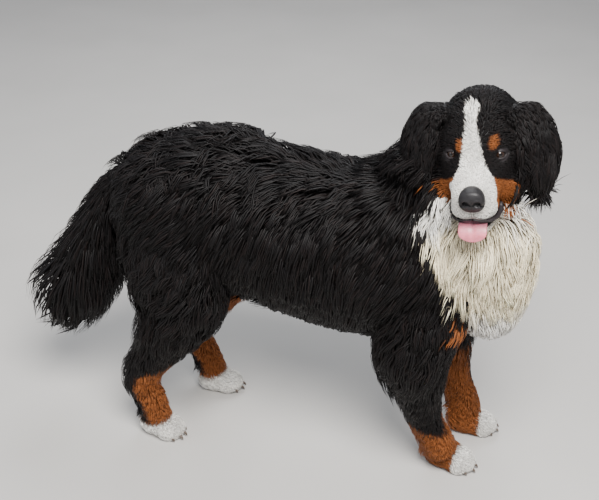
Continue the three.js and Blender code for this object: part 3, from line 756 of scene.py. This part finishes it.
# Anchors: samples of every loft, each with its part, the hair's lie and its size.
def hair_lie(name, loft, u, angle, points):
    def ways(x, y, z):
        return np.hstack([np.broadcast_to(v, (len(u), 1)) for v in (x, y, z)])

    if name == "torso":
        top = step(np.sin(angle), 0.72, 0.99)[:, None]
        under = step(-np.sin(angle), 0.55, 0.9)[:, None]
        rear = step(-points[:, :1], 100, 330)
        lie = ways(-0.3 - 0.5 * rear, 0, -1.0)
        lie = mix(lie, ways(-1.0, 0.55 * np.sign(points[:, 1:2]), -0.2), top)
        lie = mix(lie, ways(-0.55, 0, -0.85), under)
        swirl = 1.1 * top[:, 0] * (0.3 + 0.7 * rear[:, 0]) * ripple(points, 62, 3)
        swirl = swirl + 0.3 * (1 - top[:, 0]) * ripple(points, 120, 5)
        turn = np.cross(np.stack([np.zeros(len(u)), np.cos(angle), np.sin(angle)], axis=1), lie)
        return lie * np.cos(swirl)[:, None] + turn * np.sin(swirl)[:, None]
    if name == "neck":
        return ways(-0.4, 0, -1.0)
    if name == "bib":
        return ways(0.12 * np.sign(points[:, :1] - 330), -0.05, -1.0)
    if name == "head":
        h = head_of(points)
        aside = np.abs(np.cos(angle))[:, None]
        back = step(-h[:, :1], 60, 130)
        return ways(-1.0, 0.25 * np.sign(h[:, 1:2]), -0.75 * aside * (0.4 + back)) @ HEAD_AXES
    if name == "jaw":
        return ways(-1.0, 0, -0.5) @ HEAD_AXES
    if name.startswith("ear"):
        return ways(0.05, 0.22 if name == "ear_left" else -0.22, -1.0) @ HEAD_AXES
    _, tangent, _, _ = loft.frame(u)
    if name == "tail":
        return tangent + np.array([0.3, 0, -0.55])
    if "paw" in name:
        return tangent + np.array([0, 0, -0.6])
    upper = step(-u, -4.2, -2.8)[:, None]
    return ways(-0.22 - 0.3 * upper, 0, -1.0)


# How much the hair bends, stands up, hangs free and gathers in locks, and how far apart it is.
EVERY_PART = dict(curl=0.1, lift=0.95, hang=0.0, gap=1.0, lock=0.25)
SOME_PARTS = {
    "bib": dict(curl=0.18, hang=0.3, gap=0.78, lock=0.3),
    "neck": dict(curl=0.12, hang=0.15),
    "tail": dict(hang=0.7, gap=0.64, lock=0.3),
    "ear": dict(curl=0.26, lift=0.62, gap=0.75, lock=0.5),
    "leg": dict(lock=0.35),
    "paw": dict(gap=1.1),
}


def hair_size(name, loft, u, angle, points):
    """Length, depth over the skin, curl, lift, hang, gap and lock."""
    own = next((SOME_PARTS[key] for key in SOME_PARTS if key in name), {})
    curl, lift, hang, gap, lock = (np.full(len(u), v) for v in {**EVERY_PART, **own}.values())
    depth = catmull(loft.rows, u)[:, 6]
    length = 1.9 * depth
    if name == "torso":
        crest = step(np.sin(angle), 0.6, 0.97) * (0.4 + 0.6 * step(-points[:, 0], 60, 200))
        under = step(-np.sin(angle), 0.6, 0.95)
        curl = 0.08 + 0.5 * crest
        lift = 0.95 + crest * (0.02 + 0.26 * ripple(points, 48, 8)) + 0.35 * under
        length = length * (1 + 0.15 * under)
        hang = 0.6 * under
        gap = 1.05 - 0.15 * crest
        lock = 0.25 + 0.3 * crest
    elif name.startswith("ear"):
        low = step(u, 2.6, 4.2)
        length = mix(2.8 * depth, 92, low)
        depth = np.maximum(depth, 12 * low)
        hang = 0.4 + 0.6 * low
    elif name == "tail":
        length = np.clip(1.7 * depth, 30, 165)
    elif name == "head":
        crown = step(-head_of(points)[:, 0], 150, 200)
        length = length + 14 * crown
        curl = 0.05 + 0.12 * crown
    elif name in LEGS:
        rear = step(-np.sin(angle), 0.5, 0.95)
        feather = 0.7 if LEGS[name]["fore"] else 0.9
        low = step(u, 4.2, 5.2) * (1 - step(u, 6.2, 6.9))
        length = length * (1 + rear * (0.35 + feather * low))
        hang = 0.6 * rear
        lift = 0.95 + rear * (0.2 + 0.6 * low)
        curl = 0.1 + 0.16 * step(-u, -4.2, -2.8)
    elif "paw" in name:
        length = length * 1.5
    return np.column_stack([length, depth, curl, lift, hang, gap, lock])


# The columns of an anchor, after its place.
LIE, LENGTH, DEPTH, CURL, LIFT, HANG, GAP, LOCK, PART = slice(3, 6), 6, 7, 8, 9, 10, 11, 12, 13
ANCHOR_REACH = 11  # furthest that an anchor is from the skin
NEIGHBOURS = 6


class Field:
    """The hair's lie, length, depth and so on at any place on the skin."""

    def __init__(self):
        rows = []
        for index, (name, loft) in enumerate(PARTS.items()):
            u, angle, points = loft.grid(26 if name == "torso" else 18, 24)
            rows.append(np.column_stack([points, unit(hair_lie(name, loft, u, angle, points)),
                                         hair_size(name, loft, u, angle, points),
                                         np.full(len(u), index)]))
        rows = np.vstack(rows)
        near = np.array([surface.find_nearest(Vector(p / 1000))[3] for p in rows[:, :3] + SHIFT])
        self.rows = rows[near * 1000 < ANCHOR_REACH]
        self.tree = tree_of(self.rows[:, :3])

    def at(self, points):
        near = np.array([[found[1:] for found in self.tree.find_n(p, NEIGHBOURS)] for p in points])
        found = near[:, :, 0].astype(int)
        weight = 1 / (near[:, :, 1] ** 2 + 100)
        weight /= weight.sum(axis=1, keepdims=True)
        made = np.einsum("ik,ikc->ic", weight, self.rows[found])
        made[:, PART] = self.rows[found[:, 0], PART]
        made[:, LIE] = unit(made[:, LIE])
        return made


field = Field()

# Unwrap: each part has a rectangle, with its length across and its girth upwards.
RECTS = {"torso": (0, 0, 0.5, 0.42), "neck": (0.5, 0, 0.25, 0.3), "bib": (0.75, 0, 0.25, 0.3),
         "head": (0.5, 0.3, 0.5, 0.32), "jaw": (0, 0.42, 0.16, 0.12), "tail": (0.16, 0.42, 0.34, 0.12),
         "ear_left": (0, 0.54, 0.25, 0.16), "ear_right": (0.25, 0.54, 0.25, 0.16)}
for k, name in enumerate(LEGS):
    RECTS[name] = (0.25 * k, 0.72, 0.25, 0.15)
    RECTS[name.replace("leg", "paw")] = (0.25 * k, 0.88, 0.25, 0.11)


def unwrapped(points, part, turn=None):
    """Places on the unwrap. `turn` is an angle near which each point's own angle stays."""
    made = np.zeros((len(points), 2))
    angles = np.zeros(len(points))
    for index, name in enumerate(NAMES):
        mine = part == index
        if not mine.any():
            continue
        u, angle = PARTS[name].locate(points[mine])
        angles[mine] = angle
        if turn is not None:
            near = turn[mine]
            angle = near + (angle - near + np.pi) % (2 * np.pi) - np.pi
        x, y, wide, tall = RECTS[name]
        along = np.clip((u + 0.3) / (PARTS[name].last + 0.6), 0.005, 0.995)
        made[mine, 0] = x + wide * (0.01 + 0.98 * along)
        made[mine, 1] = y + tall * np.clip(0.5 + angle / (2 * np.pi) * 0.94, 0.0, 1.0)
    return made, angles


SKIN_SHADE = 0.8  # of the coat's colour


def dress_skin(made):
    """Unwraps and paints the skin, and gives the hair's values at each of its faces."""
    mesh = made.data
    points = to_dog(vertex_data(mesh, "co"))
    total = read(mesh.polygons, "loop_total")
    corner = read(mesh.loops, "vertex_index")
    face = np.repeat(np.arange(len(total)), total)
    centre = np.zeros((len(total), 3))
    np.add.at(centre, face, points[corner])
    centre /= total[:, None]
    hair = field.at(centre)
    part = hair[:, PART].astype(int)
    _, angle = unwrapped(centre, part)
    places, _ = unwrapped(points[corner], part[face], angle[face])
    layer = mesh.uv_layers.new(name="OFBake")
    layer.data.foreach_set("uv", places.astype(np.float32).ravel())
    vertex_part = np.zeros(len(points), int)
    vertex_part[corner] = part[face]
    shade = colours(points, vertex_part, np.zeros(len(points))) * SKIN_SHADE
    paint(made, mix(shade, LIP, (1 - step(from_eyes(points), 16.5, 19))[:, None]))
    return hair


face_hair = dress_skin(skin)
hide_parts(*[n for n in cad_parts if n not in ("eye_left", "eye_right", "nose", "tongue")])


# Coat: tufts rooted on the skin. The tables give the width and the spacing of tufts by length.
TUFT_WIDTH = ([6, 14, 30, 60, 100, 150], [1.5, 2.0, 2.9, 4.0, 4.9, 5.4])
TUFT_GAP = ([7, 12, 25, 45, 70, 100, 150], [1.6, 2.3, 2.9, 3.7, 4.7, 5.3, 5.4])
TUFT_BODY = ([0, 0.25, 0.6, 0.85, 1], [0.75, 1.0, 0.78, 0.42, 0.0])  # width along a tuft
TUFT_PATCH = 0.003  # on the unwrap
TUFTS_IN_LOCK, TUFTS_IN_SWEEP = 9, 70
LOWEST_ROOT, LOWEST_HAIR = 2.5, 3.0
FEWEST_TUFTS = 12


def sow():
    """Roots on the skin, closer where the hair is short, with the skin's normals there."""
    mesh = skin.data
    mesh.calc_loop_triangles()
    a, b, c = read(mesh.loop_triangles, "vertices", 3).T
    owner = read(mesh.loop_triangles, "polygon_index")
    points = to_dog(vertex_data(mesh, "co"))
    corner_normals = vertex_data(mesh, "normal")
    area = np.linalg.norm(np.cross(points[b] - points[a], points[c] - points[a]), axis=1) / 2
    gap = np.interp(face_hair[owner, LENGTH], *TUFT_GAP) * face_hair[owner, GAP]
    middle = (points[a] + points[b] + points[c]) / 3
    x, y, z = head_of(middle).T
    mouth = (z < -47) & (z > -66) & (x > -106) & (np.abs(y) < 30)
    share = np.where(mouth, 0, step(from_eyes(middle), 17.5, 20.5))
    weight = area / gap**2 * share * (middle[:, 2] > LOWEST_ROOT)
    edges = np.cumsum(weight)
    wanted = int(edges[-1])
    pick = np.searchsorted(edges, (np.arange(wanted) + HAIR.random(wanted)) / wanted * edges[-1])
    pick = np.minimum(pick, len(owner) - 1)
    r1, r2 = np.sqrt(HAIR.random(wanted)), HAIR.random(wanted)
    w = np.stack([1 - r1, r1 * (1 - r2), r1 * r2], axis=1)[:, :, None]

    def blend(values):
        return values[a[pick]] * w[:, 0] + values[b[pick]] * w[:, 1] + values[c[pick]] * w[:, 2]

    return blend(points), unit(blend(corner_normals))


def clumps_of(points, size):
    """Draws clumps of about `size` points: each point's clump, its middle, and their number."""
    count = max(1, int(len(points) / size))
    middles = points[HAIR.permutation(len(points))[:count]]
    tree = tree_of(middles)
    near = np.array([tree.find(p)[1] for p in points])
    return near, middles[near], count


def grow(root, normal, hair, segments):
    """Centre lines of tufts, kept over the skin: rings of points, and the way each lies flat."""
    count = len(root)
    lie, length, depth, curl, lift, hang, lock = (
        hair[:, k] for k in (LIE, LENGTH, DEPTH, CURL, LIFT, HANG, LOCK))
    clump, gather, clumps = clumps_of(root, TUFTS_IN_LOCK)
    big, _, bigs = clumps_of(root, TUFTS_IN_SWEEP)
    wave = HAIR.uniform(-1, 1, clumps)[clump]
    sweep = HAIR.uniform(-1, 1, bigs)[big]
    phase = HAIR.uniform(0, 2 * np.pi, clumps)[clump]
    height = HAIR.uniform(0.74, 1.0, clumps)[clump] * HAIR.uniform(0.95, 1.02, count)
    length = length * HAIR.uniform(0.85, 1.1, clumps)[clump] * HAIR.uniform(0.85, 1.08, count)
    flow = unit(lie - normal * dot(lie, normal))
    side = np.cross(flow, normal)
    flow = unit(flow + side * (curl * 1.1 * sweep + curl * 0.7 * wave
                               + HAIR.uniform(-0.07, 0.07, count))[:, None])
    line = [root - normal * np.minimum(1.5, 0.3 * depth)[:, None]]
    flats = []
    here, n = line[0].copy(), normal.copy()
    down = np.array([0, 0, -1.0])
    for k in range(1, segments + 1):
        t = k / segments
        bend = curl * 1.3 * np.sin(phase + t * 5.0) * (0.5 + 0.5 * np.abs(wave))
        side = np.cross(flow, n)
        heading = unit(flow + side * bend[:, None])
        here = here + heading * (length / segments)[:, None]
        found = [surface.find_nearest(Vector(p / 1000)) for p in here + SHIFT]
        foot = np.array([f[0][:] for f in found]) * 1000 - SHIFT
        n = np.array([f[1][:] for f in found])
        rise = 1 - (1 - min(1, t / 0.55)) ** 2 - 0.1 * max(0, t - 0.7) / 0.3
        above = depth * lift * height * rise
        held = foot + n * above[:, None]
        over = dot(here - foot, n)[:, 0]
        loose = here + n * np.maximum(0, above * 0.6 - over)[:, None]
        free = (hang * t)[:, None]
        here = np.where(free > 0.02, mix(held, loose, free), held)
        flow = unit(here - line[-1])
        flow = unit(flow + down * (0.1 + 0.3 * hang * t)[:, None])
        flow = unit(mix(unit(flow - n * dot(flow, n)), flow, (hang * 0.8)[:, None]))
        line.append(here)
        flats.append(np.cross(heading, n))
    line = np.stack(line, axis=1)
    ts = np.linspace(0, 1, segments + 1)
    pull = gather - root
    limit = np.minimum(1, 0.35 * length / np.maximum(np.linalg.norm(pull, axis=1), 1e-6))
    line = line + (pull * (limit * lock)[:, None])[:, None, :] * (ts**1.4)[None, :, None]
    line[:, :, 2] = np.maximum(line[:, :, 2], LOWEST_HAIR)
    return line, unit(np.stack([flats[0], *flats], axis=1))


def tufts(name, line, flat, width, tint, place, slot):
    """One mesh of closed three-sided tufts, each tapering to a point."""
    count, rings = line.shape[:2]
    segments = rings - 1
    ts = np.linspace(0, 1, rings)
    tangent = unit(np.gradient(line, axis=1))
    out = unit(np.cross(flat, tangent))
    half = (width[:, None] * np.interp(ts, *TUFT_BODY)[None, :] / 2)[:, :, None]
    thick = half * 0.26
    corners = [line - flat * half, line + out * thick * 1.6, line + flat * half]
    points = np.stack(corners, axis=2)[:, :segments].reshape(count, segments * 3, 3)
    points = np.concatenate([points, line[:, -1:, :]], axis=1)
    size, sides = segments * 3 + 1, ((0, 1), (1, 2), (2, 0))
    faces = []
    for r in range(0, size - 4, 3):
        for k, n in sides:
            faces += [[r + k, r + n, r + 3 + n], [r + k, r + 3 + n, r + 3 + k]]
    faces += [[size - 4 + k, size - 4 + n, size - 1] for k, n in sides]
    faces = np.array([*faces, [0, 2, 1]])
    a, b, c = (points[:, faces[:, k]] - points.mean(axis=1, keepdims=True) for k in range(3))
    if np.median(np.einsum("nfc,nfc->n", a, np.cross(b, c))) < 0:
        faces = faces[:, ::-1]
    index = (faces[None] + (np.arange(count) * size)[:, None, None]).reshape(-1, 3)
    made = solid(name, (points.reshape(-1, 3), index.tolist()), coat_material, slot)
    across = np.array([0.0, 0.5, 1.0] * segments + [0.5])
    along = np.concatenate([np.repeat(ts[:segments], 3), [1.0]])
    # Painted shade: each tuft is darker at its root, deep in the coat, and lighter towards its tip.
    shade = np.clip(tint[:, None, :] * (0.62 + 0.5 * along**0.8)[None, :, None], 0, 1)
    uv = place[:, None, :] + (np.stack([across, along], axis=1)[None] - 0.5) * TUFT_PATCH
    uv = np.clip(uv, 0.0005, 0.9995).reshape(-1, 2)[index.ravel()]
    made.data.uv_layers.new(name="OFBake").data.foreach_set("uv", uv.astype(np.float32).ravel())
    paint(made, shade.reshape(-1, 3))


def coat():
    root, normal = sow()
    hair = field.at(root)
    part = hair[:, PART].astype(int)
    names = np.array(NAMES)[part]
    x, y, _ = root.T
    key = names.astype(object)
    body, head, rump = names == "torso", names == "head", x < -120
    key[body] = np.where(y[body] < 0, "flank_right", "flank_left")
    key[body & rump] = np.where(y[body & rump] < 0, "rump_right", "rump_left")
    key[head] = np.where(x[head] < HEAD_AT[0], "head_right", "head_left")
    long_hair = (hair[:, LENGTH] > 50) & (hair[:, CURL] > 0.17)
    short = hair[:, LENGTH] < 27
    for name in sorted(set(key)):
        for label, chosen, segments in (("long", long_hair, 4), ("middle", ~long_hair & ~short, 3),
                                        ("short", short, 2)):
            mine = (key == name) & chosen
            count = mine.sum()
            if count < FEWEST_TUFTS:
                continue
            r, h, p = root[mine], hair[mine], part[mine]
            line, flat = grow(r, normal[mine], h, segments)
            fuzz = HAIR.normal(0, 1, count) * np.clip(h[:, LENGTH] * 0.09, 0.8, 7)
            tint = colours(r, p, fuzz) * HAIR.uniform(0.8, 1.2, (count, 1))
            brown = HAIR.random((count, 1)) ** 3 * (tint.max(axis=1, keepdims=True) < 0.05)
            tint = tint * mix(np.ones(3), np.array([1.9, 1.35, 1.15]), brown)
            width = np.interp(h[:, LENGTH], *TUFT_WIDTH) * HAIR.uniform(0.7, 1.1, count)
            width = width * np.where(p == NAMES.index("bib"), 0.75, 1)
            pale = name in ("bib", "jaw") or "paw" in name
            tufts(f"coat_{name}_{label}", line, flat, width, tint, unwrapped(r, p)[0],
                  "coat_white" if pale else "coat_black")


coat()


def eyes():
    """Eyeballs with a pupil and an iris, and the rims of the lids."""
    sides = 40
    polar, turn = ring_grid(np.concatenate([np.linspace(0.01, 1.2, 28),
                                            np.linspace(1.28, np.pi - 0.02, 12)]), sides)
    radius = EYE_RADIUS - 0.7 + 0.9 * np.exp(-(polar / 0.42) ** 2)
    ball = np.stack([np.cos(polar), np.sin(polar) * np.cos(turn), np.sin(polar) * np.sin(turn)],
                    axis=1) * radius[:, None]
    out, spoke = np.append(polar, [0, np.pi]), np.append(turn, [0, 0])
    tone = IRIS * (0.8 + 0.35 * np.sin(spoke * 19) * np.sin(spoke * 7 + 1))[:, None]
    tone = mix(PUPIL, tone, step(out, 0.24, 0.32)[:, None])
    tone = mix(tone, IRIS_EDGE, step(out, 0.6, 0.72)[:, None])
    tone = mix(tone, EYE_WHITE, step(out, 0.9, 1.15)[:, None])
    theta = np.linspace(0, 2 * np.pi, 49)
    upper = np.sin(theta) > 0
    aside = LID_WIDE * np.cos(theta)
    up = np.where(upper, LID_UPPER, LID_LOWER) * np.sin(theta)
    rim = unit(np.stack([np.cos(aside) * np.cos(up), np.sin(aside) * np.cos(up), np.sin(up)], axis=1))
    for side, sign in (("left", 1), ("right", -1)):
        centre, axes = eye_at(sign), eye_axes(sign)
        made = solid(f"eyeball_{side}", capped(centre + ball @ axes, sides), eye_material, "eye")
        paint(made, tone)
        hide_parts(f"eye_{side}")
        path = centre + rim @ axes * (EYE_RADIUS + 0.5)
        solid(f"lid_rims_{side}", tube_mesh(path, np.where(upper, 1.7, 1.35)), lip_material, "nose")


eyes()


def nose():
    """The leather of the nose, with its nostrils and the groove between them."""
    loft = Loft(head_stations(
        (-20, 24, -14, 17),
        (-10, 25, -24, 23),
        (2, 21, -29, 24),
        (9, 11, -27, 19),
        (12, 2, -20, 11),
    ), HEAD_SIDE, 0.85, 1.5)
    sides = 72
    places = head_of(loft.grid(64, sides)[2])
    x, y, z = places.T
    ahead = step(x, -6, 6)
    for sign in (1, -1):
        d = np.sqrt(((y - sign * 10.5) / 6.6) ** 2 + ((z + 3.5) / 6.2) ** 2)
        slit = np.sqrt(((y - sign * 17) / 6.5) ** 2 + ((z + 9.5) / 2.4) ** 2)
        x -= ahead * (9 * (1 - step(d, 0.55, 1.15)) + 4.5 * (1 - step(slit, 0.4, 1.1)))
        x += ahead * 0.7 * np.exp(-((d - 1.35) / 0.28) ** 2)
    x -= ahead * 2.2 * np.exp(-(y / 1.3) ** 2) * step(-z, -6, 2)
    made = solid("nose_leather", capped(HEAD_AT + places @ HEAD_AXES, sides), nose_material, "nose")
    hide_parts("nose")


nose()


def tongue():
    """The tongue, hanging over the lower lip, with a groove down its middle."""
    rings, sides = 50, 36
    line = head_curve([(-86, 0, -60), (-50, 0, -58), (-22, 0, -57), (-6, 0, -61), (3, 0, -71),
                       (6, 0, -84)], rings)
    along = np.linspace(0, 5, rings)
    half = 26.5 - 7 * (1 - np.minimum(along / 2, 1)) ** 2
    half = half * np.sqrt(np.maximum(0.02, 1 - np.maximum(0, (along - 3.6) / 1.4) ** 2.2))
    thick = np.interp(along, [0, 2, 3, 4, 5], [4.5, 4.5, 4.2, 3.6, 2.0])
    up = unit(np.cross(unit(np.gradient(line, axis=0)), HEAD_SIDE))
    i, angle = ring_grid(np.arange(rings), sides)
    a, b = np.cos(angle), np.sin(angle)
    dish = 2.6 * a * a - 2.2 * np.exp(-(a / 0.09) ** 2) * (b > 0)
    points = (line[i] + HEAD_SIDE * (a * half[i])[:, None]
              + up[i] * (b * thick[i] + dish * thick[i] / 4.5)[:, None])
    made = solid("tongue_skin", capped(points, sides), tongue_material, "tongue")
    # Painted shade: the tongue darkens from its pink tip to its root inside the mouth.
    share = step(np.append(along[i], [0, 5]), 2.2, 3.9)[:, None]
    paint(made, mix(TONGUE_ROOT_SHADED, TONGUE_TIP, share))
    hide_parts("tongue")


tongue()


def lips():
    """The dark edges of the mouth, fuller at the left corner, which shows more."""
    bumps = 0.8 * np.sin(np.linspace(0, 34, 40)) * np.linspace(0, 1, 40)
    thick = tapered(40, [0, 0.3, 0.7, 0.9, 1], [2.2, 3.0, 5.0, 5.2, 2.0]) + bumps
    for side, sign, full in (("left", 1, 1.1), ("right", -1, 0.7)):
        upper = head_curve([(-3, 1, -42), (-8, 16, -47), (-22, 32, -52), (-48, 41, -56),
                            (-72, 46, -53), (-84, 46, -44)], 40, sign)
        lower = head_curve([(-18, 1, -69), (-26, 16, -69), (-48, 30, -68), (-84, 38, -64)], 36, sign)
        solid(f"lip_upper_{side}", tube_mesh(upper, thick * full, 12, 0.8), lip_material, "nose")
        solid(f"lip_lower_{side}", tube_mesh(lower, tapered(36, [0, 0.5, 1], [2.4, 3.6, 2.5]), 12, 0.8),
              lip_material, "nose")


lips()


def claws():
    for name, leg in LEGS.items():
        origin, axes = foot_frame(leg)
        shapes = []
        for reach, aside in toes(leg):
            path = curve_through([(reach + 16, aside, 14), (reach + 22, aside * 1.02, 12.5),
                                  (reach + 26, aside * 1.03, 9), (reach + 28, aside * 1.04, 5)], 12)
            shapes.append(tube_mesh(origin + path @ axes, tapered(12, [0, 0.5, 1], [3.4, 2.8, 0.7])))
        solid(f"claws_{name}", merged(shapes), claw_material, "nose")


claws()

# Floor, light and camera.
FLOOR_HALF = 6
floor = mesh_object("floor", [(x * FLOOR_HALF, y * FLOOR_HALF, 0)
                              for x, y in ((-1, -1), (1, -1), (1, 1), (-1, 1))],
                    [(0, 1, 2, 3)], floor_material, None)

world = bpy.data.worlds.new("studio")
world.use_nodes = True
put(world.node_tree.nodes["Background"], Color=(0.86, 0.9, 1.0, 1), Strength=0.5)
bpy.context.scene.world = world


def lamp(name, place, target, size, power, colour):
    data = bpy.data.lights.new(name, "AREA")
    data.shape = "DISK"
    data.size = size
    data.energy = power
    data.color = colour
    made = bpy.data.objects.new(name, data)
    made.location = place
    made.rotation_euler = (Vector(target) - Vector(place)).to_track_quat("-Z", "Y").to_euler()
    bpy.context.scene.collection.objects.link(made)


lamp("key", (0.9, -1.7, 3.2), (0, 0, 0.4), 1.8, 310, (1.0, 0.98, 0.95))
lamp("fill", (-2.6, -1.8, 1.9), (0, 0, 0.4), 2.4, 28, (0.92, 0.96, 1.0))
lamp("rim", (-0.4, 2.2, 3.0), (0, 0, 0.5), 2.0, 80, (0.95, 0.98, 1.0))

AZIMUTH, ELEVATION = math.radians(15), math.radians(30)
CAMERA_AT = Vector((0.432, -1.884, 1.605))
back = Vector((math.sin(AZIMUTH) * math.cos(ELEVATION), -math.cos(AZIMUTH) * math.cos(ELEVATION),
               math.sin(ELEVATION)))
right = Vector((math.cos(AZIMUTH), math.sin(AZIMUTH), 0))
camera = bpy.data.objects.new("camera", bpy.data.cameras.new("camera"))
camera.data.sensor_width = 36
camera.data.lens = 61.33
camera.matrix_world = (Matrix.Translation(CAMERA_AT + Vector(SHIFT / 1000))
                       @ Matrix((right, back.cross(right), back)).transposed().to_4x4())
bpy.context.scene.collection.objects.link(camera)
bpy.context.scene.camera = camera
